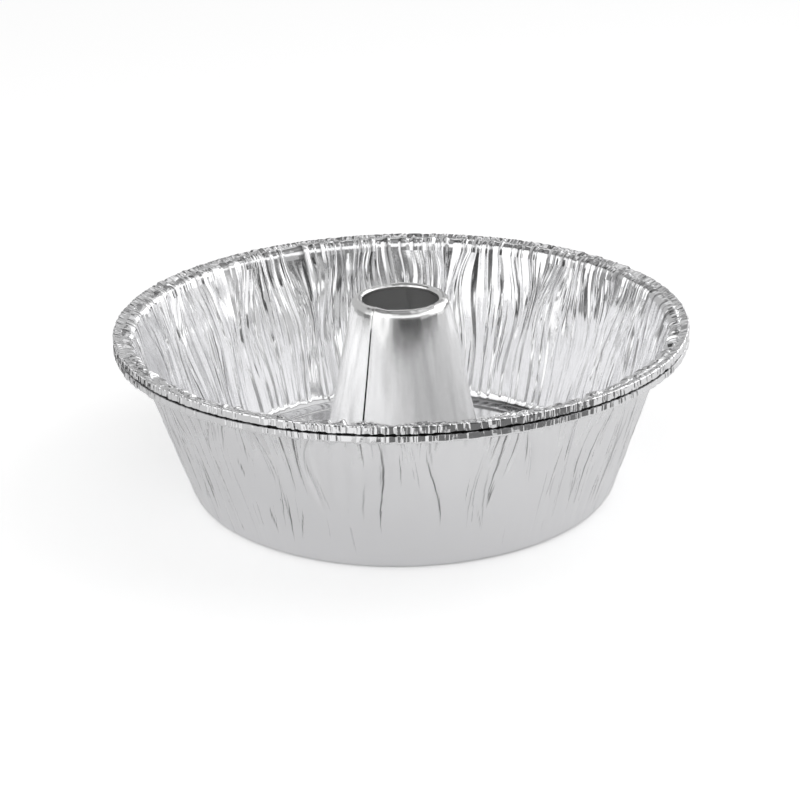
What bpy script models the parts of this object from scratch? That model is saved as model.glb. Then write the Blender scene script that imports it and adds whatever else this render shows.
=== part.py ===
"""Round foil cake pan with a hollow cone in the middle, modelled as its two pressed pieces.

The foil pan is one drawn sheet: a floor with a hole, a stiffening bead, a flat foot land, a
rounded corner, a pleated wall that leans out, a shoulder and a crinkled, rolled rim. The tube is
one rolled sheet: a cone closed by a joggled lap seam, its top edge curled in and its foot
turned out under the floor, so that the floor is held between the foot's step and flange.
Every sheet is drawn as its middle surface and given its gauge by a Solidify modifier.
"""
import math

import bmesh
import bpy
import numpy as np

# Foil pan, in metres
RIM_DIAMETER = 0.254
WALL_TOP_DIAMETER = 0.2364
BASE_DIAMETER = 0.1834
PAN_HEIGHT = 0.077
FOIL_GAUGE = 0.00012
CORNER_RADIUS = 0.0059
SHOULDER_DROP = 0.0042
SHOULDER_RISE = 0.0010
SHOULDER_ROUND = 0.0012
PLEAT_DEPTH = 0.0015
PLEAT_FOOT_SHARE = 0.35
PLEAT_COUNT = 96

# Rolled rim of the pan
ROLL_WIDTH = 0.0045
ROLL_HEIGHT = 0.0064
CREST_RADIUS = 0.0012
CREST_INSET = 0.0004
CREASE_DROP = 0.0035
CREASE_DEPTH = 0.0007
CREASE_WIDTH = 0.0010
CURL_RADIUS = 0.0011
CURL_TURN = 205.0
CRINKLE_DEPTH = 0.0005

# Floor of the pan
PANEL_RISE = 0.0009
BEAD_DIAMETER = 0.1700
BEAD_WIDTH = 0.0036
BEAD_CREST = 0.0010
BEAD_HEIGHT = 0.0017
BOSS_RISE = 0.0022
BOSS_MARGIN = 0.0020
BOSS_SLOPE = 0.0024

# Centre tube
TUBE_HEIGHT = 0.086
TUBE_FOOT_DIAMETER = 0.0768
TUBE_OPENING = 0.0335
TUBE_GAUGE = 0.00025
TOP_ROUND = 0.0034
LIP_RADIUS = 0.0016
LIP_TURN = 115.0
FOOT_STEP = 0.0012
FLANGE_WIDTH = 0.0035
FLANGE_BEND = 0.0005
SEAM_ANGLE = -123.0
SEAM_GAP_ANGLE = 2.0
LAP_ANGLE = 14.0
LAP_GAP = 0.00025

# Clearance between the tube and the floor that it is clinched to
SEAT_GAP = 0.0003

# Uneven pressing, as sine waves: waves round the pan, radians of shift up the form, share of depth
PLEAT_SWELLS = ((11, 5.0, 0.25), (29, -3.0, 0.15))
PLEAT_DRIFT = (17, 2.0, 0.25)
CRINKLES = ((34, 3.0, 0.6), (44, -8.0, 0.4))

# Facets round the pan: the wall has two columns for each pleat, the rim and floor fewer
WALL_COLUMNS = 2 * PLEAT_COUNT
RIM_COLUMNS = 96
FLOOR_COLUMNS = 48
TUBE_COLUMNS = 56
WALL_ROWS = 3
FILLET_STEPS = 3
ROUND_STEPS = 3

FOIL_MIDDLE = FOIL_GAUGE / 2
LAND = FOIL_MIDDLE
PANEL = LAND + PANEL_RISE
BOSS = LAND + BOSS_RISE
NECK_RADIUS = TUBE_FOOT_DIAMETER / 2 - FOOT_STEP


def clear_scene():
    """Remove every object that the file starts with."""
    for item in list(bpy.data.objects):
        bpy.data.objects.remove(item, do_unlink=True)


def arc(centre, radius, start, end, steps):
    """Points on a circle in the profile plane, from one angle to another, in degrees."""
    angles = np.radians(np.linspace(start, end, steps + 1))
    return [(centre[0] + radius * math.cos(a), centre[1] + radius * math.sin(a)) for a in angles]


def tangent_angle(point, centre, radius, side):
    """Angle, in degrees, at which the line from an outside point touches a circle."""
    reach = math.dist(point, centre)
    towards = math.atan2(point[1] - centre[1], point[0] - centre[0])
    return math.degrees(towards + side * math.acos(radius / reach))


def inset(profile, distance):
    """Parallel copy of a profile, moved to its left by a distance, with mitred corners."""
    points = np.array(profile)
    along = np.diff(points, axis=0)
    along /= np.linalg.norm(along, axis=1)[:, None]
    normals = np.stack([-along[:, 1], along[:, 0]], axis=1)
    before = np.vstack([normals[:1], normals])
    after = np.vstack([normals, normals[-1:]])
    mitre = (before + after) / (1 + np.sum(before * after, axis=1))[:, None]
    return points + distance * mitre


def aluminium(name, colour, roughness):
    """Bare aluminium with its colour and polish."""
    material = bpy.data.materials.new(name)
    material.use_nodes = True
    shader = material.node_tree.nodes["Principled BSDF"]
    shader.inputs["Base Color"].default_value = (*colour, 1.0)
    shader.inputs["Metallic"].default_value = 1.0
    shader.inputs["Roughness"].default_value = roughness
    return material


def sheet_object(name, mesh_data, gauge, material):
    """Turn a middle surface into an object whose Solidify modifier gives it its gauge."""
    bmesh.ops.recalc_face_normals(mesh_data, faces=mesh_data.faces)
    mesh = bpy.data.meshes.new(name)
    mesh_data.to_mesh(mesh)
    mesh_data.free()
    mesh.shade_smooth()
    mesh.materials.append(material)
    sheet = bpy.data.objects.new(name, mesh)
    bpy.context.collection.objects.link(sheet)
    gauge_modifier = sheet.modifiers.new("gauge", "SOLIDIFY")
    gauge_modifier.thickness = gauge
    gauge_modifier.offset = 0.0
    gauge_modifier.use_even_offset = True
    return sheet


def turns(columns):
    """Angle of each column round the pan, in radians."""
    return np.linspace(0, 2 * math.pi, columns, endpoint=False)


def ring(mesh_data, radii, height):
    """A level ring of vertices, evenly spaced, with one radius for each."""
    return [
        mesh_data.verts.new((r * math.cos(a), r * math.sin(a), height))
        for r, a in zip(radii, turns(len(radii)))
    ]


def join_rings(mesh_data, inner, outer):
    """Faces between two rings: quads where the counts match, else triangles taken by turns."""
    if len(inner) == len(outer):
        for k in range(len(inner)):
            after = (k + 1) % len(inner)
            mesh_data.faces.new((inner[k], outer[k], outer[after], inner[after]))
        return
    i = 0
    j = 0
    while i < len(inner) or j < len(outer):
        here = inner[i % len(inner)]
        across = outer[j % len(outer)]
        if (i + 1) * len(outer) <= (j + 1) * len(inner):
            i += 1
            mesh_data.faces.new((here, across, inner[i % len(inner)]))
        else:
            j += 1
            mesh_data.faces.new((here, across, outer[j % len(outer)]))


def floor_profile():
    """Middle of the floor: hole, raised seat for the tube, panel, bead and foot land."""
    hole = NECK_RADIUS + TUBE_GAUGE / 2 + SEAT_GAP
    boss_edge = NECK_RADIUS + FLANGE_WIDTH + BOSS_MARGIN
    bead = BEAD_DIAMETER / 2
    centre = [(hole, BOSS), (boss_edge, BOSS), (boss_edge + BOSS_SLOPE, PANEL)]
    edge = [
        (bead - BEAD_WIDTH / 2, PANEL),
        (bead - BEAD_CREST / 2, LAND + BEAD_HEIGHT),
        (bead + BEAD_CREST / 2, LAND + BEAD_HEIGHT),
        (bead + BEAD_WIDTH / 2, LAND),
    ]
    return centre, edge


def wall_profile():
    """Middle of the rounded corner and the straight wall, tangent to each other."""
    centre = (BASE_DIAMETER / 2, LAND + CORNER_RADIUS)
    top = (WALL_TOP_DIAMETER / 2, PAN_HEIGHT - SHOULDER_DROP - SHOULDER_RISE - SHOULDER_ROUND)
    meets = tangent_angle(top, centre, CORNER_RADIUS, -1)
    corner = arc(centre, CORNER_RADIUS, -90, meets, FILLET_STEPS)
    foot = np.array(corner[-1])
    rows = [tuple(foot + (np.array(top) - foot) * k / WALL_ROWS) for k in range(WALL_ROWS + 1)]
    return corner[:-1], rows


def rim_profile():
    """Middle of the shoulder and of the rolled rim with its crease and curled edge."""
    outside = RIM_DIAMETER / 2 - FOIL_MIDDLE
    crest = (outside - CREST_INSET - CREST_RADIUS, PAN_HEIGHT - FOIL_MIDDLE - CREST_RADIUS)
    groove = (RIM_DIAMETER / 2 - ROLL_WIDTH, PAN_HEIGHT - SHOULDER_DROP)
    crease = PAN_HEIGHT - CREASE_DROP
    band_foot = (outside, crease + CREASE_WIDTH / 2)
    curl = (outside - CURL_RADIUS, PAN_HEIGHT - ROLL_HEIGHT + FOIL_MIDDLE + CURL_RADIUS)
    shoulder = (WALL_TOP_DIAMETER / 2 + SHOULDER_ROUND, groove[1] - SHOULDER_RISE)
    inner = tangent_angle(groove, crest, CREST_RADIUS, -1) + 360
    outer = tangent_angle(band_foot, crest, CREST_RADIUS, 1)
    return (
        [shoulder, groove]
        + arc(crest, CREST_RADIUS, inner, outer, ROUND_STEPS)
        + [band_foot, (outside - CREASE_DEPTH, crease), (outside, crease - CREASE_WIDTH / 2)]
        + arc(curl, CURL_RADIUS, 0, -CURL_TURN, ROUND_STEPS + 1)
    )


def wave(turn, rise, count, shift, share):
    """Sine wave round the pan that shifts as it climbs, times its share of the depth."""
    return share * np.sin(count * turn + shift * rise)


def pleat_radii(radius, rise):
    """Radii round one row of the wall: in and out by turns, uneven, and deeper near the top."""
    turn = turns(WALL_COLUMNS)
    swell = sum(wave(turn, rise, *term) for term in PLEAT_SWELLS)
    least = 1 - sum(share for _, _, share in PLEAT_SWELLS)
    fold = np.where(np.arange(WALL_COLUMNS) % 2 == 0, 0.5, -0.5) * (least + swell)
    drift = wave(turn, rise, *PLEAT_DRIFT) * math.sin(math.pi * rise)
    depth = PLEAT_DEPTH * (PLEAT_FOOT_SHARE + (1 - PLEAT_FOOT_SHARE) * rise)
    return radius + depth * (fold + drift)


def crinkled_radii(radius, level):
    """Radii round one ring of the rolled rim: pressed in unevenly, and each ring in its own way."""
    press = sum(wave(turns(RIM_COLUMNS), level, *term) for term in CRINKLES)
    return radius - CRINKLE_DEPTH * (1 + press) / 2


def build_pan(material):
    """Foil pan, from the hole in its floor to the curled edge of its rim."""
    mesh_data = bmesh.new()
    centre, edge = floor_profile()
    corner, wall = wall_profile()
    rings = [ring(mesh_data, [r] * FLOOR_COLUMNS, z) for r, z in centre]
    rings += [ring(mesh_data, [r] * RIM_COLUMNS, z) for r, z in edge + corner]
    rings += [
        ring(mesh_data, pleat_radii(r, k / WALL_ROWS), z) for k, (r, z) in enumerate(wall)
    ]
    shoulder, *roll = rim_profile()
    rings.append(ring(mesh_data, [shoulder[0]] * RIM_COLUMNS, shoulder[1]))
    rings += [
        ring(mesh_data, crinkled_radii(r, k / len(roll)), z) for k, (r, z) in enumerate(roll)
    ]
    for inner, outer in zip(rings, rings[1:]):
        join_rings(mesh_data, inner, outer)
    return sheet_object("foil_pan", mesh_data, FOIL_GAUGE, material)


def tube_profile():
    """Middle of the tube's sheet, from the flange under the floor to the end of its lip."""
    flange = BOSS - FOIL_MIDDLE - SEAT_GAP - TUBE_GAUGE / 2
    step = BOSS + FOIL_MIDDLE + SEAT_GAP + TUBE_GAUGE / 2
    foot = (TUBE_FOOT_DIAMETER / 2, step)
    crest = TUBE_HEIGHT - TUBE_GAUGE / 2
    middle = TUBE_OPENING / 2 + TUBE_GAUGE / 2 + LIP_RADIUS
    shoulder = (middle, crest - TOP_ROUND)
    leaves = tangent_angle(foot, shoulder, TOP_ROUND, 1)
    bend = (NECK_RADIUS + FLANGE_BEND, flange + FLANGE_BEND)
    return (
        [(NECK_RADIUS + FLANGE_WIDTH, flange)]
        + arc(bend, FLANGE_BEND, 270, 180, 2)
        + [(NECK_RADIUS, step), foot]
        + arc(shoulder, TOP_ROUND, leaves, 90, ROUND_STEPS)
        + arc((middle, crest - LIP_RADIUS), LIP_RADIUS, 90, 90 + LIP_TURN, ROUND_STEPS)[1:]
    )


def build_tube(material):
    """Centre tube: the profile carried round, its last stretch tucked in under its first edge."""
    mesh_data = bmesh.new()
    profile = tube_profile()
    full_turn = list(np.linspace(0, 360 - SEAM_GAP_ANGLE, TUBE_COLUMNS))
    lap = [360.0, 360 + LAP_ANGLE / 2, 360 + LAP_ANGLE]
    tucked = inset(profile, TUBE_GAUGE + LAP_GAP)
    columns = []
    for angle, shape in [(a, profile) for a in full_turn] + [(a, tucked) for a in lap]:
        turn = math.radians(SEAM_ANGLE + angle)
        columns.append(
            [mesh_data.verts.new((r * math.cos(turn), r * math.sin(turn), z)) for r, z in shape]
        )
    for first, second in zip(columns, columns[1:]):
        for k in range(len(profile) - 1):
            mesh_data.faces.new((first[k], second[k], second[k + 1], first[k + 1]))
    return sheet_object("centre_tube", mesh_data, TUBE_GAUGE, material)


clear_scene()
build_pan(aluminium("pan_foil", (0.82, 0.82, 0.83), 0.28))
build_tube(aluminium("tube_sheet", (0.78, 0.78, 0.79), 0.34))
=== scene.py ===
import math

import bpy
import numpy as np
from mathutils import Matrix, Vector


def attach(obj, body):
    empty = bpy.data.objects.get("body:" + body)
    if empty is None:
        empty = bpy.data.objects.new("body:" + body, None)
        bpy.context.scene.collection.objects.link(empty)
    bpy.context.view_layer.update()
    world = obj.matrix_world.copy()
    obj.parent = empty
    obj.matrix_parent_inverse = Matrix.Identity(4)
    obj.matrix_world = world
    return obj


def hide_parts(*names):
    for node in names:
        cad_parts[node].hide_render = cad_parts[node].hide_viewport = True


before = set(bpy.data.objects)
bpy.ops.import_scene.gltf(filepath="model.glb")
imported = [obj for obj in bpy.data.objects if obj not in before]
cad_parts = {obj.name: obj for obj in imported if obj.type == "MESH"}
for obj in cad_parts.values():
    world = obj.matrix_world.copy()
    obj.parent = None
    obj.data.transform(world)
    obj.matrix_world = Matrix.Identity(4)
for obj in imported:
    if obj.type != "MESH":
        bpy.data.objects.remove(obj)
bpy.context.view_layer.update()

# Pan floor
# The level middle of the one pressed sheet of thin aluminium foil: a hole for the tube, a raised
# seat round it, a panel, a stiffening bead and the flat ring that the pan stands on.
mm = 0.001
foil_gauge = 0.12 * mm
foil_columns = 3072
land_radius = 91.7 * mm
land_height = foil_gauge / 2
bead_radius = 85.0 * mm
bead_width = 3.6 * mm
bead_crest = 1.0 * mm
bead_height = 1.7 * mm
panel_height = land_height + 0.9 * mm
seat_height = land_height + 2.2 * mm
seat_radius = 42.7 * mm
seat_slope = 2.4 * mm
hole_radius = 37.6 * mm
floor_rows = 90
floor_columns = foil_columns // 6


def turns(columns):
    """Places of the columns round the pan, as shares of one turn, from +X towards +Y."""
    return np.arange(columns) / columns


def revolve(radius, height, turn):
    """Points (radius cos a, radius sin a, height), where a is the turn times two pi."""
    angle = 2 * np.pi * turn
    radius, height, angle = np.broadcast_arrays(radius, height, angle)
    return np.stack([radius * np.cos(angle), radius * np.sin(angle), height], axis=-1)


def smooth_step(value):
    """Rises from 0 to 1 as the value does, level at both ends: 3 v squared less 2 v cubed."""
    v = np.clip(value, 0, 1)
    return v * v * (3 - 2 * v)


def resample(points, count):
    """Points at even steps of length along a polyline."""
    points = np.asarray(points, float)
    length = np.append(0, np.cumsum(np.linalg.norm(np.diff(points, axis=0), axis=1)))
    steps = np.linspace(0, length[-1], count)
    return np.stack([np.interp(steps, length, points[:, k]) for k in range(2)], axis=1)


def sheet(
    name, grid, gauge, material, node, round_closed=True, marks=None, edged=False, crisp=False
):
    """Sheet metal on a grid of points, rows along its profile and columns round the pan.
    Each square of the grid is one face, and a Solidify modifier gives the sheet its gauge.
    The UV map holds turns and share of the profile, and marks are numbers kept at each point.
    Only an edged sheet has its gauge drawn at its edges; the others meet their neighbours. A
    crisp sheet shows its faces as flats."""
    rows, columns = grid.shape[:2]
    mesh = bpy.data.meshes.new(name)
    index = np.arange(rows * columns).reshape(rows, columns)
    after = np.roll(index, -1, axis=1) if round_closed else index[:, 1:]
    here = index if round_closed else index[:, :-1]
    faces = np.stack([here[:-1], after[:-1], after[1:], here[1:]], axis=-1).reshape(-1, 4)
    mesh.from_pydata(grid.reshape(-1, 3), [], faces)
    across = np.arange(here.shape[1])
    u, v = np.meshgrid(across / columns, np.arange(rows - 1) / (rows - 1))
    corners = [(0, 0), (1, 0), (1, 1), (0, 1)]
    uv = np.stack([np.stack([u + du / columns, v + dv / (rows - 1)], -1) for du, dv in corners], 2)
    mesh.uv_layers.new(name="round_and_up").data.foreach_set("uv", uv.astype(np.float32).ravel())
    for key, values in (marks or {}).items():
        mark = mesh.attributes.new(key, "FLOAT", "POINT")
        mark.data.foreach_set("value", values.astype(np.float32).ravel())
    if not crisp:
        mesh.shade_smooth()
    mesh.materials.append(material)
    piece = bpy.data.objects.new(name, mesh)
    bpy.context.scene.collection.objects.link(piece)
    solid = piece.modifiers.new("gauge", "SOLIDIFY")
    solid.thickness = gauge
    solid.offset = 0.0
    solid.use_rim = edged
    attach(piece, "root")
    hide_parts(node)
    return piece


def metal(name, colour, roughness, roughness_change, layers, shade_colour=None):
    """Bare aluminium: its polish varies a little, each layer is a (coordinates, scale, detail,
    depth) noise that dents it, and a point attribute mixes in a dark colour as painted shade, where
    shade falls in creases, folds and seams."""
    material = bpy.data.materials.new(name)
    material.use_nodes = True
    nodes, links = material.node_tree.nodes, material.node_tree.links
    shader = nodes["Principled BSDF"]
    shader.inputs["Metallic"].default_value = 1.0
    place = nodes.new("ShaderNodeTexCoord")
    bump_normal = None
    for coordinates, scale, detail, depth in layers:
        stretch = nodes.new("ShaderNodeMapping")
        stretch.inputs["Scale"].default_value = scale
        links.new(place.outputs[coordinates], stretch.inputs["Vector"])
        noise = nodes.new("ShaderNodeTexNoise")
        noise.inputs["Scale"].default_value = 1.0
        noise.inputs["Detail"].default_value = detail
        links.new(stretch.outputs["Vector"], noise.inputs["Vector"])
        bump = nodes.new("ShaderNodeBump")
        bump.inputs["Distance"].default_value = depth
        links.new(noise.outputs["Fac"], bump.inputs["Height"])
        if bump_normal:
            links.new(bump_normal, bump.inputs["Normal"])
        bump_normal = bump.outputs["Normal"]
    links.new(bump_normal, shader.inputs["Normal"])
    polish = nodes.new("ShaderNodeMapRange")
    polish.inputs["To Min"].default_value = roughness - roughness_change
    polish.inputs["To Max"].default_value = roughness + roughness_change
    links.new(noise.outputs["Fac"], polish.inputs["Value"])
    links.new(polish.outputs["Result"], shader.inputs["Roughness"])
    if shade_colour is None:
        shader.inputs["Base Color"].default_value = (*colour, 1.0)
        return material
    # Painted shade: the mark attribute mixes the base colour towards a near-black where shade falls
    # in creases, folds and seams.
    mark = nodes.new("ShaderNodeAttribute")
    mark.attribute_name = "painted_shade"
    tint = nodes.new("ShaderNodeMix")
    tint.data_type = "RGBA"
    # Places of the Mix node's colour sockets, which share their names with its other kinds.
    unshaded_input, shaded_input, mixed_output = 6, 7, 2
    tint.inputs[unshaded_input].default_value = (*colour, 1.0)
    tint.inputs[shaded_input].default_value = (*shade_colour, 1.0)
    links.new(mark.outputs["Fac"], tint.inputs["Factor"])
    links.new(tint.outputs[mixed_output], shader.inputs["Base Color"])
    return material


foil_colour = (0.86, 0.86, 0.87)
# Painted shade: the near-black that the creases, the folds on the shoulder and the tube's seam are
# darkened to.
painted_shade_colour = (0.02, 0.02, 0.02)
foil_dent = 0.012 * mm
floor_dent = 0.01 * mm
foil = metal(
    "pressed_foil",
    foil_colour,
    roughness=0.12,
    roughness_change=0.03,
    layers=[("UV", (1400, 9, 1), 2, foil_dent), ("Object", (900, 900, 900), 2, foil_dent)],
    shade_colour=painted_shade_colour,
)
floor_metal = metal(
    "pan_floor_foil",
    foil_colour,
    roughness=0.22,
    roughness_change=0.04,
    layers=[("Object", (700, 700, 700), 2, floor_dent)],
)


def waves(turn, rise, table):
    """Sum of waves round the pan: reach * sin(2 pi (count * turn + climb * rise + start))."""
    turn, rise = np.atleast_2d(turn), np.reshape(rise, (-1, 1))
    total = np.zeros(np.broadcast_shapes(turn.shape, rise.shape))
    for count, reach, climb, start in table:
        total = total + reach * np.sin(2 * np.pi * (count * turn + climb * rise + start))
    return total


floor_profile = resample(
    [
        (hole_radius, seat_height),
        (seat_radius, seat_height),
        (seat_radius + seat_slope, panel_height),
        (bead_radius - bead_width / 2, panel_height),
        (bead_radius - bead_crest / 2, land_height + bead_height),
        (bead_radius + bead_crest / 2, land_height + bead_height),
        (bead_radius + bead_width / 2, land_height),
        (land_radius, land_height),
    ],
    floor_rows,
)
floor_turn = turns(floor_columns)
floor_rise = np.linspace(0, 1, floor_rows)
# Where the floor swells up and down: (count, reach in mm, climb, start).
floor_swells = [
    (5, 0.06, 0.7, 0.1),
    (9, 0.05, -1.3, 0.4),
    (16, 0.04, 1.9, 0.7),
    (27, 0.02, -0.6, 0.2),
]
floor_calm = smooth_step(4 * floor_rise * (1 - floor_rise))[:, None]
floor_relief = mm * floor_calm * waves(floor_turn, floor_rise, floor_swells)
floor_grid = revolve(floor_profile[:, :1], floor_profile[:, 1:] + floor_relief, floor_turn)
sheet("pan_floor", floor_grid, foil_gauge, floor_metal, "foil_pan")

# Pan wall
# The same foil, drawn up from the floor through a rounded corner into a wall that leans out. The
# press gathers the round blank, so the wall is full of sharp upright wrinkles, many of them
# darkened with painted shade where shade falls in their folds.
corner_radius = 5.9 * mm
wall_top_radius = 118.2 * mm
wall_top_height = 70.6 * mm
corner_rows = 6
wall_rows = 27
wall_joint = 16
wall_bow = 0.05 * mm
round_length = 2 * np.pi * wall_top_radius


def uneven_gaps(rng, evenness, count):
    """Random gaps that fill one turn together, the more alike the greater their evenness."""
    gaps = rng.gamma(evenness, 1.0, count)
    return gaps / gaps.sum()


def between_lines(turn, gaps):
    """The number of the gap that each place round the pan lies in, and its share across it."""
    lines = np.append(0, np.cumsum(gaps))
    gap = np.clip(np.searchsorted(lines, turn % 1, side="right") - 1, 0, len(gaps) - 1)
    return gap, (turn % 1 - lines[gap]) / (lines[gap + 1] - lines[gap])


def folded(turn, rise, count, seed, levels, overlap=0.0):
    """Heights, mostly from -1 to 1, of foil folded along its own lines, with flats between them.
    The gaps between the lines are random, and a line's random height at each level up the sheet
    is smaller where its gaps are narrow, so that the flats keep alike slopes. With an overlap the
    foil drops to the opposite height within that share of a mean gap, as a pressed pleat does."""
    most_room = 1.3
    least_height, most_height = 0.2, 1.2
    rng = np.random.default_rng(seed)
    gaps = uneven_gaps(rng, 4.5, count)
    places = np.cumsum(gaps)
    room = np.minimum(count * np.minimum(gaps, np.roll(gaps, -1)), most_room)
    side = np.where(np.arange(count) % 2 == 0, 1.0, -1.0)
    heights = side * room * rng.uniform(least_height, most_height, (levels, count))
    if overlap:
        heights = heights * rng.choice([-1.0, 1.0], count)
        places = np.concatenate([places, places + overlap * np.minimum(room, 1) / count])
        heights = np.concatenate([heights, -heights], axis=1)
    at_level = np.stack([np.interp(turn, places, row, period=1.0) for row in heights], axis=-1)
    from_level = np.abs(np.reshape(rise, (-1, 1)) * (levels - 1) - np.arange(levels))
    return (at_level * smooth_step(1 - from_level)[:, None, :]).sum(axis=-1)


def wedges(turn, rise, count, width, length, lean, seed):
    """Sharp single folds, from 0 to 1, and painted shade along the tightest of them, where shade
    falls in the fold.
    A fold is 1 less its distance over its half width, on a line that leans and zigzags a little;
    the half width swells from nothing at one pointed end and shrinks to nothing at the other.
    Every two folds start from one point, so that they part like a V."""
    lowest_foot, highest_foot = 0.08, 0.85
    zigzag_reach = 0.12 * mm
    painted_shade_from = 0.65
    least_width = 1e-9
    rng = np.random.default_rng(seed)
    folds = np.zeros((len(rise), len(turn)))
    painted_shade = np.zeros_like(folds)
    for place, foot, reach, tilt, size, tight in zip(
        np.repeat(rng.uniform(0, 1, count // 2), 2),
        np.repeat(rng.uniform(lowest_foot, highest_foot, count // 2), 2),
        rng.uniform(*length, count),
        rng.normal(0, lean, count),
        rng.uniform(*width, count),
        rng.uniform(0, 1, count),
    ):
        along = (rise[:, None] - foot) / reach
        taper = np.clip(4 * along * (1 - along), 0, 1)
        zigzag = zigzag_reach * np.sin(2 * np.pi * (reach * 9 * along + 5 * tight))
        line = place + (tilt * along + zigzag) / round_length
        away = np.abs((turn - line + 0.5) % 1 - 0.5) * round_length
        shape = np.clip(1 - away / (size * taper + least_width), 0, 1) * (taper > 0)
        folds = np.maximum(folds, shape * taper)
        # Painted shade: folds tighter than the threshold are darkened along their lines, where
        # shade falls in them.
        painted_shade = np.maximum(painted_shade, shape * taper * (tight > painted_shade_from))
    return folds, painted_shade


def scales(turn, count, seed):
    """Folds that lie over each other like scales, from 0 to 1, and a painted shade at their edges.
    Each rises straight from its one edge to a crest and falls straight to its other edge; the shade
    is a random darkness of each scale times a nearness that is 1 at an edge and falls to 0 within a
    seventh of the scale's width."""
    rng = np.random.default_rng(seed)
    scale, along = between_lines(turn, uneven_gaps(rng, 7.0, count))
    crest = rng.choice([0.3, 0.7], count)[scale]
    to_crest = np.minimum(along / crest, (1 - along) / (1 - crest))
    heights = rng.uniform(0.6, 1.0, count)[scale] * to_crest
    dark = rng.uniform(0.2, 1.0, count)[scale]
    return heights, dark * np.clip(1 - 7 * np.minimum(along, 1 - along), 0, 1)


def pillows(turn, count, seed):
    """Foil pinched along random lines, from 0 to 1: 1 less the fourth power of the distance from
    the middle of each flat, where its edges are at 1, times the flat's own random height."""
    rng = np.random.default_rng(seed)
    flat, across = between_lines(turn, uneven_gaps(rng, 2.2, count))
    return rng.uniform(0.5, 1.0, count)[flat] * (1 - np.abs(2 * across - 1) ** 4)


def arc(centre, radius, start, end, count):
    """Points of a circle from one angle to another, in degrees, in the profile's plane."""
    angles = np.radians(np.linspace(start, end, count))
    return np.stack([centre[0] + radius * np.cos(angles), centre[1] + radius * np.sin(angles)], 1)


corner_centre = np.array([land_radius, land_height + corner_radius])
wall_top = np.array([wall_top_radius, wall_top_height])
to_corner = corner_centre - wall_top
lean_angle = math.degrees(math.atan2(-to_corner[1], -to_corner[0]))
off_angle = math.degrees(math.asin(corner_radius / np.linalg.norm(to_corner)))
tangent = lean_angle + off_angle - 90
corner = arc(corner_centre, corner_radius, -90, tangent, corner_rows)
share = np.linspace(0, 1, wall_rows + 1)[1:, None]
straight_wall = corner[-1] + (wall_top - corner[-1]) * share
wall_slope = math.radians(tangent)
wall_square = np.array([math.cos(wall_slope), math.sin(wall_slope)])
wall_profile = np.vstack([corner, straight_wall + 4 * share * (1 - share) * wall_bow * wall_square])
wall_rise = (wall_profile[:, 1] - land_height) / (wall_top_height - land_height)
foil_turn = turns(foil_columns)
up_wall = wall_rise[:, None]

# Where the foil's own upright lines stray sideways: (count, reach in mm, climb, start).
wall_strays = [
    (13, 3.4, 0.8, 0.1),
    (17, 1.2, -1.1, 0.6),
    (31, 1.0, 0.9, 0.3),
    (59, 0.35, -1.6, 0.8),
]
wall_stray = mm * waves(foil_turn, wall_rise, wall_strays) / round_length * up_wall
# The wrinkles start above the rounded corner, at an uneven line, and grow as they climb.
pleat_feet = 0.014 + 0.014 * folded(foil_turn, 0.0, count=150, seed=15, levels=2)
pleat_run_in = 0.04
foot_depth, added_depth = 0.55, 0.45
growth = smooth_step((up_wall - pleat_feet) / pleat_run_in) * (foot_depth + added_depth * up_wall)
# The uppermost part has deeper folds, which lie over each other like scales on the shoulder.
scale_start, scale_run_in = 0.62, 0.36
scale_growth = smooth_step((up_wall - scale_start) / scale_run_in)
scale_heights, scale_edge_shade = scales(foil_turn, count=92, seed=21)
# Some folds cross the others, because they lean one way or the other by a share of a turn.
lean_right, lean_left = 0.010 * up_wall, -0.012 * up_wall
# Depth in mm, and heights, of each set of folds.
wall_layers = [
    (0.62, folded(foil_turn, wall_rise, count=150, seed=11, levels=8, overlap=0.40)),
    (0.10, folded(foil_turn, wall_rise, count=310, seed=12, levels=10)),
    (0.03, folded(foil_turn, wall_rise, count=820, seed=13, levels=10)),
    (0.34, folded(foil_turn, wall_rise, count=72, seed=14, levels=8)),
    (0.90, scale_growth * scale_heights),
    (0.20, folded(foil_turn, wall_rise, count=120, seed=17, levels=14) * up_wall),
    (0.12, folded(foil_turn + lean_right, wall_rise, count=140, seed=18, levels=9)),
    (0.12, folded(foil_turn + lean_left, wall_rise, count=125, seed=19, levels=8)),
]
sharp, painted_shade = wedges(
    foil_turn,
    wall_rise,
    count=360,
    width=(0.28 * mm, 0.56 * mm),
    length=(0.12, 0.70),
    lean=1.6 * mm,
    seed=16,
)
grooves, groove_painted_shade = wedges(
    foil_turn,
    wall_rise,
    count=300,
    width=(0.30 * mm, 0.55 * mm),
    length=(0.15, 0.60),
    lean=2.4 * mm,
    seed=31,
)
sharp_depth, groove_depth = 0.42, 0.40
# Strengths of the painted shade in the grooves and at the scales' edges.
groove_dark, scale_dark = 0.4, 0.7
shoulder_start, shoulder_run_in = 0.86, 0.14
near_shoulder = smooth_step((up_wall - shoulder_start) / shoulder_run_in)
# Painted shade: the grooves, and the scales' edges near the shoulder, are darkened where shade
# falls between the folds.
painted_shade = np.maximum(painted_shade, groove_dark * groove_painted_shade)
painted_shade = np.maximum(painted_shade, scale_dark * near_shoulder * scale_edge_shade)
wall_folds = sum(depth * heights for depth, heights in wall_layers)
wall_folds = wall_folds - sharp_depth * sharp + groove_depth * grooves
# The folds' outer edges lie on the profile, and the rest of them inside it.
wall_folds -= np.quantile(wall_folds, 0.95, axis=1, keepdims=True)
wall_out = growth * mm * wall_folds
wall_grid = revolve(
    wall_profile[:, :1] + wall_out * math.cos(wall_slope),
    wall_profile[:, 1:] + wall_out * math.sin(wall_slope),
    foil_turn + wall_stray,
)
for part, rows in (("lower", slice(None, wall_joint + 1)), ("upper", slice(wall_joint, None))):
    sheet(
        "pan_wall_" + part,
        wall_grid[rows],
        foil_gauge,
        foil,
        "foil_pan",
        marks={"painted_shade": painted_shade[rows]},
    )

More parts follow.
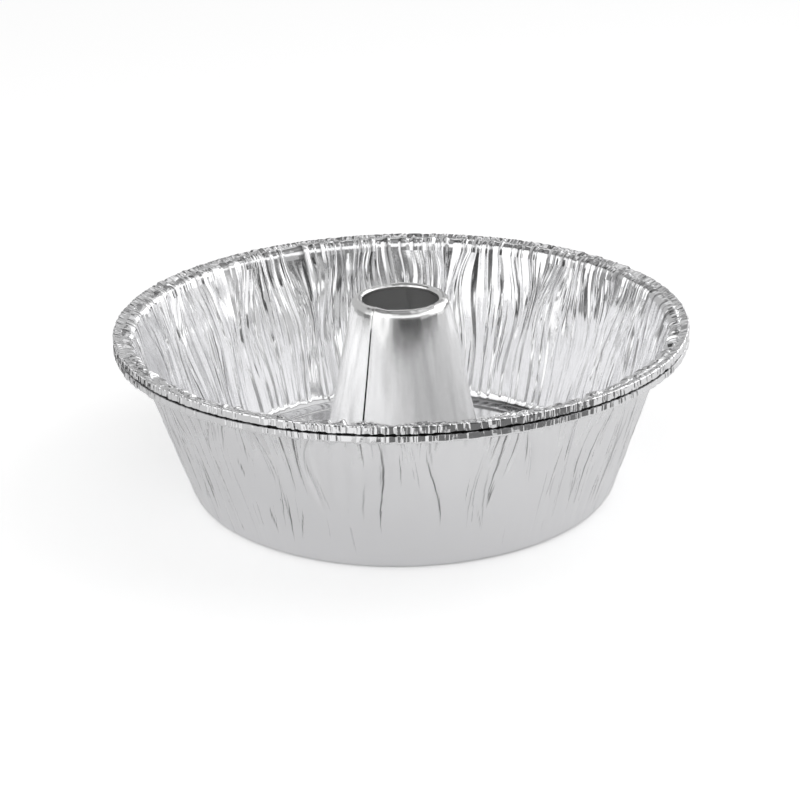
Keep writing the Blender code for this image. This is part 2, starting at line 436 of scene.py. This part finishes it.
# Pan rim
# The foil's edge: the wall rounds over into a narrow sloping flange, whose edge is rolled under
# with a crease round its outside. Rolling crinkles it into small flats, each band its own.
rim_radius = 126.9 * mm
rim_height = 77.0 * mm
rim_flange_slope = 20
shoulder_radius = 2.4 * mm
crest_radius = 0.6 * mm
band_lean = 0.1 * mm
top_band_width = 2.6 * mm
top_groove_depth = 0.3 * mm
top_groove_width = 0.5 * mm
band_bend_drop = 1.8 * mm
crease_drop = 3.5 * mm
crease_depth = 0.9 * mm
crease_width = 1.2 * mm
roll_drop = 7.5 * mm
curl_radius = 1.1 * mm
crest_centre = (rim_radius - band_lean - crest_radius, rim_height - crest_radius)
crease_height = rim_height - crease_drop
curl_centre = (rim_radius - curl_radius, rim_height - roll_drop + curl_radius)

crest_line = arc(crest_centre, crest_radius, 90 + rim_flange_slope, 0, 5)
flange_slope = math.radians(rim_flange_slope)
down_flange = -np.array([math.cos(flange_slope), math.sin(flange_slope)])
under_flange = np.array([-down_flange[1], down_flange[0]])
wall_end = wall_profile[-1] - wall_profile[-2]
wall_end_angle = math.degrees(math.atan2(wall_end[1], wall_end[0]))
# The wall's line and the flange's line meet at a corner, which the shoulder rounds off.
both_ways = np.stack([wall_end, -down_flange], axis=1)
to_meeting = np.linalg.solve(both_ways, crest_line[0] - wall_profile[-1])
round_off = shoulder_radius * math.tan(math.radians(wall_end_angle - rim_flange_slope) / 2)
flange_foot = crest_line[0] + down_flange * (to_meeting[1] - round_off)
shoulder_centre = flange_foot + shoulder_radius * under_flange
shoulder_line = arc(shoulder_centre, shoulder_radius, 90 + wall_end_angle, 90 + rim_flange_slope, 4)
top_groove = crest_line[0] + down_flange * top_band_width
groove_bottom = top_groove + down_flange * top_groove_width + under_flange * top_groove_depth
rim_profile = np.vstack(
    [
        wall_profile[-1:],
        [(wall_profile[-1] + shoulder_line[0]) / 2],
        shoulder_line,
        np.linspace(flange_foot, groove_bottom - under_flange * top_groove_depth, 4)[1:-1],
        groove_bottom,
        top_groove,
        crest_line,
        [
            (rim_radius - band_lean / 2, rim_height - band_bend_drop),
            (rim_radius, crease_height + 0.4 * crease_width),
            (rim_radius - crease_depth, crease_height + 0.1 * crease_width),
            (rim_radius - crease_depth, crease_height - 0.3 * crease_width),
            (rim_radius, crease_height - 0.6 * crease_width),
            (rim_radius, crease_height - 1.6 * crease_width),
        ],
        arc(curl_centre, curl_radius, 0, -180, 6),
    ]
)
# How far round the roll each row lies: 0 up to the top groove, 1 where the crest starts, 3 and 4
# at the crease's two edges, and 6 at the end of the curl.
roll_start = 9
crest_row = 10
crease_rows = (17, 18)
roll_folds = 6
roll_place = [0, 1, 1.1, 1.25, 1.4, 1.5, 2.2, 3, 3.3, 3.7, 4, 4.5, 5, 5.3, 5.6]
roll_place = np.array([0] * roll_start + roll_place + [6, 6, 6])
rim_rows = len(rim_profile)
rim_row = np.arange(rim_rows)
along = np.gradient(rim_profile, axis=0)
along /= np.linalg.norm(along, axis=1)[:, None]
rim_normal = np.stack([-along[:, 1], along[:, 0]], axis=1)

# Crinkles in mm: sharp folds, slight inside the crest, and foil pinched into pillows in each band.
roll_rise = roll_place / roll_folds
crinkles = 0.24 * folded(foil_turn, roll_rise, count=235, seed=22, levels=7, overlap=0.4)
crinkles += 0.05 * folded(foil_turn, roll_rise, count=420, seed=25, levels=7, overlap=0.15)
crinkles *= np.interp(roll_place, [0, 0.8, 1.1], [0.3, 0.3, 1.0])[:, None]
in_top_band = np.interp(roll_place, [2.6, 3.4], [1.0, 0.0])[:, None]
pillow_depth = 0.42
pillow_middle = 0.6
top_pillows = pillows(foil_turn, count=270, seed=26) - pillow_middle
lower_pillows = pillows(foil_turn, count=250, seed=27) - pillow_middle
crinkles += pillow_depth * in_top_band * top_pillows
crinkles += pillow_depth * (1 - in_top_band) * lower_pillows
# The wall's own wrinkles run on over the shoulder, square to each row, and end at the top groove.
from_wall = np.interp(rim_row, [0, 5, 7, 8, 9], [1.0, 1.0, 1.0, 0.7, 0.0])[:, None]
on_roll = np.interp(rim_row, [7, 9], [0.0, 1.0])[:, None]
turned = np.clip(rim_row / 2, 0, 1)[:, None]
wrinkle_way = (1 - turned) * [math.cos(wall_slope), math.sin(wall_slope)] - turned * rim_normal
rim_relief = from_wall * wall_out[-1]
rim_crinkle = on_roll * mm * crinkles
rim_radii, rim_heights = (
    rim_profile[:, [k]] + rim_relief * wrinkle_way[:, [k]] + rim_crinkle * rim_normal[:, [k]]
    for k in range(2)
)
# Where the rim's crinkles stray sideways: (count, reach in mm, climb, start).
rim_strays = [(11, 1.4, 0.2, 0.2), (23, 0.9, -0.3, 0.5), (47, 0.4, 0.4, 0.9)]
rim_stray = mm * waves(foil_turn, rim_row / rim_rows, rim_strays) / round_length
rim_stray = from_wall * wall_stray[-1] + (1 - from_wall) * rim_stray
rim_grid = revolve(rim_radii, rim_heights, foil_turn + rim_stray)
# Painted shade: the crease is painted black, and the edges where the scales overlap on the shoulder
# are darkened, where shade falls in them.
rim_painted_shade = np.isin(rim_row, crease_rows)[:, None] * np.ones(foil_columns)
rim_painted_shade += np.interp(rim_row, [0, 2, 6, 8], [0.7, 0.9, 0.8, 0.0])[:, None] * scale_edge_shade
rim_parts = [
    ("shoulder", slice(None, crest_row + 1), False),
    ("roll", slice(crest_row, None), True),
]
for part, rows, crisp in rim_parts:
    sheet(
        "pan_rim_" + part,
        rim_grid[rows],
        foil_gauge,
        foil,
        "foil_pan",
        marks={"painted_shade": rim_painted_shade[rows]},
        crisp=crisp,
    )

# Centre tube
# A cone rolled from one heavier aluminium sheet, its seam a joggled lap, its top edge curled in
# and its foot turned out under the pan's floor, which it clinches.
tube_gauge = 0.25 * mm
tube_height = 86.0 * mm
tube_foot_radius = 38.4 * mm
tube_opening_radius = 16.75 * mm
neck_radius = 37.2 * mm
flange_width = 3.5 * mm
flange_bend = 0.5 * mm
seat_gap = 0.3 * mm
top_round = 3.4 * mm
lip_radius = 1.6 * mm
lip_turn = 115
tube_columns = 640
lap_columns = 24
seam_turn = -123 / 360
seam_gap_turn = 1.4 / 360
lap_turn = 14 / 360
lap_gap = 0.25 * mm
tube_rows = 60

flange_height = seat_height - foil_gauge / 2 - seat_gap - tube_gauge / 2
step_height = seat_height + foil_gauge / 2 + seat_gap + tube_gauge / 2
crest = tube_height - tube_gauge / 2
lip_middle = tube_opening_radius + tube_gauge / 2 + lip_radius
round_centre = np.array([lip_middle, crest - top_round])
foot = np.array([tube_foot_radius, step_height])
towards = math.degrees(math.atan2(foot[1] - round_centre[1], foot[0] - round_centre[0]))
leave = towards + math.degrees(math.acos(top_round / np.linalg.norm(foot - round_centre)))
tube_line = np.vstack(
    [
        [(neck_radius + flange_width, flange_height)],
        arc((neck_radius + flange_bend, flange_height + flange_bend), flange_bend, 270, 180, 4),
        [(neck_radius, step_height), foot],
        arc(round_centre, top_round, leave, 90, 7),
        arc((lip_middle, crest - lip_radius), lip_radius, 90, 90 + lip_turn, 8)[1:],
    ]
)
tube_profile = resample(tube_line, tube_rows)
tube_along = np.gradient(tube_profile, axis=0)
tube_along /= np.linalg.norm(tube_along, axis=1)[:, None]
tube_normal = np.stack([-tube_along[:, 1], tube_along[:, 0]], axis=1)
tucked_profile = tube_profile + tube_normal * (tube_gauge + lap_gap)
full_turn = np.linspace(0, 1 - seam_gap_turn, tube_columns)
lap = np.linspace(1, 1 + lap_turn, lap_columns)
tube_turn = np.append(full_turn, lap) + seam_turn
sheet_turn = np.append(full_turn, lap)
tucked = (sheet_turn > 1 - seam_gap_turn / 2)[None, :]
tube_rise = np.linspace(0, 1, tube_rows)
# Where handling has dented the cone and its lip: (count, reach in mm, climb, start).
tube_dents = [(2, 0.10, 0.4, 0.1), (5, 0.07, -0.9, 0.4), (9, 0.05, 1.2, 0.7), (14, 0.02, -1.7, 0.2)]
lip_dents = [(7, 0.07, 0.0, 0.3), (12, 0.05, 0.0, 0.8), (19, 0.03, 0.0, 0.1), (31, 0.02, 0.0, 0.5)]
foot_share, foot_run_in = 0.08, 0.1
lip_share, lip_run_in = 0.80, 0.08
above_foot = smooth_step((tube_rise - foot_share) / foot_run_in)[:, None]
on_lip = smooth_step((tube_rise - lip_share) / lip_run_in)[:, None]
tube_relief = waves(tube_turn, tube_rise, tube_dents) + on_lip * waves(tube_turn, 0.0, lip_dents)
tube_relief = mm * tube_relief * above_foot
tube_radii = np.where(tucked, tucked_profile[:, :1], tube_profile[:, :1])
tube_heights = np.where(tucked, tucked_profile[:, 1:], tube_profile[:, 1:])
tube_grid = revolve(
    tube_radii + tube_relief * tube_normal[:, :1],
    tube_heights + tube_relief * tube_normal[:, 1:],
    tube_turn,
)
# Painted shade: the seam's step and the columns beside it are darkened up to below the lip, where
# shade falls in the seam.
seam_painted_shade = (sheet_turn > 1 - 1.1 * seam_gap_turn) & (sheet_turn < 1 + seam_gap_turn)
seam_end = 0.86
seam_painted_shade = seam_painted_shade * (tube_rise[:, None] < seam_end)
tube_colour = (0.89, 0.89, 0.89)
tube_dent = 0.0015 * mm
tube_metal = metal(
    "rolled_tube_sheet",
    tube_colour,
    roughness=0.21,
    roughness_change=0.03,
    layers=[("UV", (200, 1.2, 1), 2, tube_dent)],
    shade_colour=painted_shade_colour,
)
sheet(
    "centre_tube_sheet",
    tube_grid,
    tube_gauge,
    tube_metal,
    "centre_tube",
    round_closed=False,
    marks={"painted_shade": seam_painted_shade},
    edged=True,
)

# Floor and light
# A plain white table in an even white room, three soft boxes, and light and dark cards that only
# the metal mirrors, as a photographer sets them up to give bright metal its tones.
pan_middle = Vector((0.0, 0.0, 70 * mm))


def shown_background(nodes, links, mirrored_share):
    """1 for the camera's rays, and a share of 1 for the rays that metal or glass sends on."""
    ray = nodes.new("ShaderNodeLightPath")
    mirrored = nodes.new("ShaderNodeMath")
    mirrored.operation = "MAXIMUM"
    links.new(ray.outputs["Is Glossy Ray"], mirrored.inputs[0])
    links.new(ray.outputs["Is Transmission Ray"], mirrored.inputs[1])
    shown = nodes.new("ShaderNodeMath")
    shown.operation = "MULTIPLY_ADD"
    links.new(mirrored.outputs["Value"], shown.inputs[0])
    shown.inputs[1].default_value = mirrored_share
    links.new(ray.outputs["Is Camera Ray"], shown.inputs[2])
    return shown.outputs["Value"]


def stage_piece(name, points, faces, material):
    """Piece of the stage, which isn't part of the object."""
    mesh = bpy.data.meshes.new(name)
    mesh.from_pydata(points, [], faces)
    mesh.materials.append(material)
    piece = bpy.data.objects.new(name, mesh)
    bpy.context.scene.collection.objects.link(piece)
    return piece


def around_pan(azimuth, elevation, distance):
    """Point at a distance from the pan, by its elevation and by its azimuth, which goes from the
    camera's side towards +X; both are in degrees."""
    a, e = np.radians(azimuth), np.radians(elevation)
    level = np.cos(e)
    away = np.stack([np.sin(a) * level, -np.cos(a) * level, np.sin(e) * np.ones_like(a)], -1)
    return np.array(pan_middle) + distance * away


def card(name, glow, grid):
    """Card of an even glow on a grid of points, which only mirroring surfaces see."""
    material = bpy.data.materials.new(name)
    material.use_nodes = True
    nodes, links = material.node_tree.nodes, material.node_tree.links
    emission = nodes.new("ShaderNodeEmission")
    emission.inputs["Strength"].default_value = glow
    links.new(emission.outputs["Emission"], nodes["Material Output"].inputs["Surface"])
    index = np.arange(grid.shape[0] * grid.shape[1]).reshape(grid.shape[:2])
    corners = (index[:-1, :-1], index[:-1, 1:], index[1:, 1:], index[1:, :-1])
    faces = np.stack(corners, axis=-1).reshape(-1, 4).tolist()
    piece = stage_piece(name, grid.reshape(-1, 3), faces, material)
    piece.visible_camera = False
    piece.visible_diffuse = False
    piece.visible_shadow = False


def dome_card(name, glow, azimuths, elevations, distance):
    """Card on a part of a dome round the pan."""
    columns, rows = 25, 7
    azimuth, elevation = np.meshgrid(
        np.linspace(*azimuths, columns), np.linspace(*elevations, rows)
    )
    card(name, glow, around_pan(azimuth, elevation, distance))


def floor_card(name, glow, azimuths, radii):
    """Card that lies on the table round part of the pan."""
    columns = 49
    height = 0.5 * mm
    angle, radius = np.meshgrid(np.radians(np.linspace(*azimuths, columns)), radii)
    flat = [radius * np.sin(angle), -radius * np.cos(angle), np.full_like(angle, height)]
    card(name, glow, np.stack(flat, -1))


def soft_box(name, azimuth, elevation, distance, width, height, radiance):
    """Rectangular lamp that faces the pan."""
    lamp = bpy.data.lights.new(name, "AREA")
    lamp.shape = "RECTANGLE"
    lamp.size = width
    lamp.size_y = height
    lamp.energy = radiance * math.pi * width * height
    box = bpy.data.objects.new(name, lamp)
    bpy.context.scene.collection.objects.link(box)
    place = Vector(around_pan(azimuth, elevation, distance))
    facing = (pan_middle - place).to_track_quat("-Z", "Y").to_matrix().to_4x4()
    box.matrix_world = Matrix.Translation(place) @ facing
    box.visible_camera = False
    box.visible_glossy = False


table_size = 12.0
table_drop = 0.05 * mm
table_glow = 0.34
table_mirrored_share = 0.1
room_light = 0.62
room_shown = 1.0
table_white = bpy.data.materials.new("table_white")
table_white.use_nodes = True
table_nodes, table_links = table_white.node_tree.nodes, table_white.node_tree.links
table_shader = table_nodes["Principled BSDF"]
table_shader.inputs["Base Color"].default_value = (0.97, 0.97, 0.97, 1.0)
table_shader.inputs["Roughness"].default_value = 1.0
table_shader.inputs["Specular IOR Level"].default_value = 0.0
table_shader.inputs["Emission Color"].default_value = (1.0, 1.0, 1.0, 1.0)
glow_strength = table_nodes.new("ShaderNodeMath")
glow_strength.operation = "MULTIPLY"
glow_strength.inputs[1].default_value = table_glow
table_shown = shown_background(table_nodes, table_links, table_mirrored_share)
table_links.new(table_shown, glow_strength.inputs[0])
table_links.new(glow_strength.outputs["Value"], table_shader.inputs["Emission Strength"])
table_corners = ((-1, -1), (1, -1), (1, 1), (-1, 1))
table_points = [(x * table_size, y * table_size, -table_drop) for x, y in table_corners]
stage_piece("table", table_points, [(0, 1, 2, 3)], table_white)

room = bpy.data.worlds.new("white_room")
bpy.context.scene.world = room
room.use_nodes = True
room_nodes, room_links = room.node_tree.nodes, room.node_tree.links
room_nodes["Background"].inputs["Color"].default_value = (1.0, 1.0, 1.0, 1.0)
strength = room_nodes.new("ShaderNodeMapRange")
strength.inputs["To Min"].default_value = room_light
strength.inputs["To Max"].default_value = room_shown
room_links.new(shown_background(room_nodes, room_links, 1.0), strength.inputs["Value"])
room_links.new(strength.outputs["Result"], room_nodes["Background"].inputs["Strength"])

# What the metal mirrors: name, glow (1 is white), azimuths, elevations. A later card lies before an
# earlier one, and where no card lies the white room shows.
dome_cards = [
    ("ceiling_card", 0.35, (-180, 180), (72, 89.9)),
    ("ceiling_edge_card", 0.15, (-180, 60), (62, 72)),
    ("right_top_card", 0.81, (60, 140), (54, 72)),
    ("right_upper_card", 0.40, (60, 140), (46, 54)),
    ("back_top_card", 0.25, (150, 210), (54, 72)),
    ("back_upper_card", 0.08, (140, 210), (46, 54)),
    ("left_back_high_card", 0.06, (-150, -100), (46, 62)),
    ("left_top_card", 1.10, (-100, -20), (46, 62)),
    ("front_top_card", 0.34, (-20, 60), (46, 62)),
    ("left_back_card", 0.53, (-180, -90), (-2.4, 46)),
    ("left_gap_card", 0.33, (-120, -90), (-2.4, 14)),
    ("left_side_card", 0.10, (-90, -75), (-2.4, 14)),
    ("left_side_high_card", 1.10, (-90, -75), (14, 46)),
    ("left_box_card", 1.37, (-75, -30), (14, 46)),
    ("left_low_card", 1.22, (-75, -30), (-2.4, 14)),
    ("front_left_card", 0.62, (-30, -15), (-2.4, 22)),
    ("front_box_card", 1.28, (-30, 75), (22, 30)),
    ("front_higher_card", 1.09, (-30, 75), (30, 46)),
    ("front_low_card", 0.03, (-15, 90), (-2.4, 6)),
    ("front_middle_low_card", 0.06, (-15, 45), (6, 14)),
    ("front_middle_card", 0.22, (-15, 30), (14, 22)),
    ("front_right_low_card", 0.67, (45, 75), (6, 14)),
    ("front_right_card", 0.47, (30, 75), (14, 22)),
    ("right_box_card", 1.54, (75, 150), (6, 46)),
    ("right_back_box_card", 0.91, (150, 165), (30, 46)),
    ("right_back_low_card", 0.12, (120, 180), (-2.4, 6)),
    ("back_right_card", 0.57, (150, 180), (6, 30)),
    ("back_dark_card", 0.29, (165, 180), (14, 30)),
    ("back_high_card", 0.85, (165, 195), (30, 46)),
]
farthest_card = 1.5
card_step = 0.01
for place, (name, glow, azimuths, elevations) in enumerate(dome_cards):
    dome_card(name, glow, azimuths, elevations, farthest_card - card_step * place)

# Name, glow, azimuths, and radii in metres.
floor_cards = [
    ("near_left_floor_card", 0.62, (-180, 0), (0.16, 0.25)),
    ("near_right_floor_card", 0.75, (0, 180), (0.16, 0.25)),
    ("left_dark_floor_card", 0.06, (-120, -90), (0.25, 0.45)),
    ("left_far_floor_card", 0.78, (-120, -90), (0.45, 1.4)),
    ("left_floor_card", 0.67, (-90, -30), (0.25, 1.4)),
    ("left_front_floor_card", 0.96, (-30, 0), (0.25, 1.4)),
    ("front_floor_card", 0.17, (0, 60), (0.25, 1.4)),
    ("back_right_floor_card", 0.57, (120, 180), (0.25, 1.4)),
]
for name, glow, azimuths, radii in floor_cards:
    floor_card(name, glow, azimuths, radii)

# Name, azimuth, elevation, distance, width, height and radiance; lengths in metres.
soft_boxes = [
    ("left_front_box", -41, 12, 1.4, 0.62, 0.80, 1.25),
    ("right_high_box", 93, 49, 1.4, 1.0, 0.6, 1.3),
    ("high_box", 0, 38, 1.5, 1.1, 0.6, 0.98),
]
for box_values in soft_boxes:
    soft_box(*box_values)

# Camera
# It stands where the photographer's stood: 775 mm from the pan, 22 degrees above the table and
# turned by a little more than one degree about its own axis. Its angles are in radians.
camera_distance = 774.9 * mm
camera_elevation = 0.3865
camera_roll = 0.0211
camera_lens_mm = 76.77
camera_sensor_mm = 36.0
nearest_seen, farthest_seen = 0.01, 50.0
aim = Vector((-1.09 * mm, 0.0, 36.23 * mm))
camera_data = bpy.data.cameras.new("camera")
camera_data.lens = camera_lens_mm
camera_data.sensor_width = camera_sensor_mm
camera_data.clip_start = nearest_seen
camera_data.clip_end = farthest_seen
camera = bpy.data.objects.new("camera", camera_data)
bpy.context.scene.collection.objects.link(camera)
looking = Vector((0.0, math.cos(camera_elevation), -math.sin(camera_elevation)))
level_up = Vector((0.0, math.sin(camera_elevation), math.cos(camera_elevation)))
level_right = Vector((1.0, 0.0, 0.0))
right = math.cos(camera_roll) * level_right - math.sin(camera_roll) * level_up
up = math.sin(camera_roll) * level_right + math.cos(camera_roll) * level_up
facing = Matrix((right, up, -looking)).transposed().to_4x4()
camera.matrix_world = Matrix.Translation(aim - camera_distance * looking) @ facing
bpy.context.scene.camera = camera
bpy.context.scene.view_settings.view_transform = "Standard"
